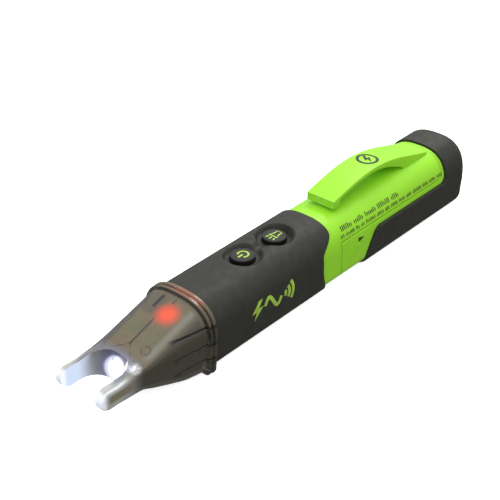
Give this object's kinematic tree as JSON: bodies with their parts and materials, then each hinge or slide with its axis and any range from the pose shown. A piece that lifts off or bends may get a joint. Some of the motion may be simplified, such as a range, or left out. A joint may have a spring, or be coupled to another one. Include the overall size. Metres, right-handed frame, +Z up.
{
  "type": "non-contact voltage tester",
  "caption": "Fork-nosed electrician's voltage tester with push buttons, a lamp, a pocket clip and a slide-off battery door.",
  "frame": {"origin": "middle of the length and width, on the plane that the tester rests on", "axes": "+X runs from the fork to the tail along the body, +Z is up through the buttons and the clip, +Y is across the body"},
  "size_m": [0.165, 0.026, 0.0285],
  "materials": {
    "smoke": "smoky translucent moulded plastic, glossy",
    "rubber": "matte soft-touch overmould",
    "green": "satin moulded plastic, lime green",
    "clear_white": "clear epoxy lamp",
    "red_lens": "red diffused lamp",
    "board": "green solder mask on glass-fibre laminate",
    "black_plastic": "moulded black plastic",
    "white_plastic": "moulded white plastic",
    "tan": "dipped tantalum capacitor",
    "copper": "bare copper strip",
    "tinned": "tin-plated contact metal",
    "steel": "zinc-plated steel",
    "battery": "printed film wrap on a steel can",
    "red_wire": "insulated wire",
    "black_wire": "insulated wire"
  },
  "bodies": {
    "housing": {"amplifier_chip": "black_plastic", "battery_bridge": "tinned", "battery_lead_black": "black_wire", "battery_lead_red": "red_wire", "battery_left": "battery", "battery_right": "battery", "battery_spring_front": "steel", "battery_spring_rear": "steel", "battery_tray": "black_plastic", "board_screw_front": "steel", "board_screw_rear": "steel", "buzzer": "black_plastic", "circuit_board": "board", "contact_plate_left": "tinned", "contact_plate_right": "tinned", "controller_chip": "black_plastic", "filter_capacitor": "tan", "flashlight_led": "clear_white", "grip_sleeve": "rubber", "indicator_led": "red_lens", "led_holder": "black_plastic", "led_lead_left": "tinned", "led_lead_right": "tinned", "led_resistor": "black_plastic", "light_switch": "black_plastic", "main_housing": "green", "nose_cone": "smoke", "power_switch": "black_plastic", "sensor_plate_left": "copper", "sensor_plate_right": "copper"},
    "power_button": {"power_button_cap": "rubber", "power_switch_plunger": "white_plastic"},
    "light_button": {"light_button_cap": "rubber", "light_switch_plunger": "white_plastic"},
    "clip": {"pocket_clip": "green"},
    "door": {"battery_door": "green", "door_overmold": "rubber"}
  },
  "joints": [
    {"name": "power_button_press", "type": "slide", "parent": "housing", "child": "power_button", "axis": [0, 0, -1], "range_m": [0, 0.0006], "stiffness_N_per_m": 2500},
    {"name": "light_button_press", "type": "slide", "parent": "housing", "child": "light_button", "axis": [0, 0, -1], "range_m": [0, 0.0006], "stiffness_N_per_m": 2500},
    {"name": "clip_flex", "type": "hinge", "parent": "housing", "child": "clip", "pos_m": [0.0655, 0, 0.02273], "axis": [0, 1, 0], "range_deg": [0, 6], "stiffness_Nm_per_rad": 2},
    {"name": "door_slide", "type": "slide", "parent": "housing", "child": "door", "axis": [1, 0, 0], "range_m": [0, 0.062]}
  ]
}
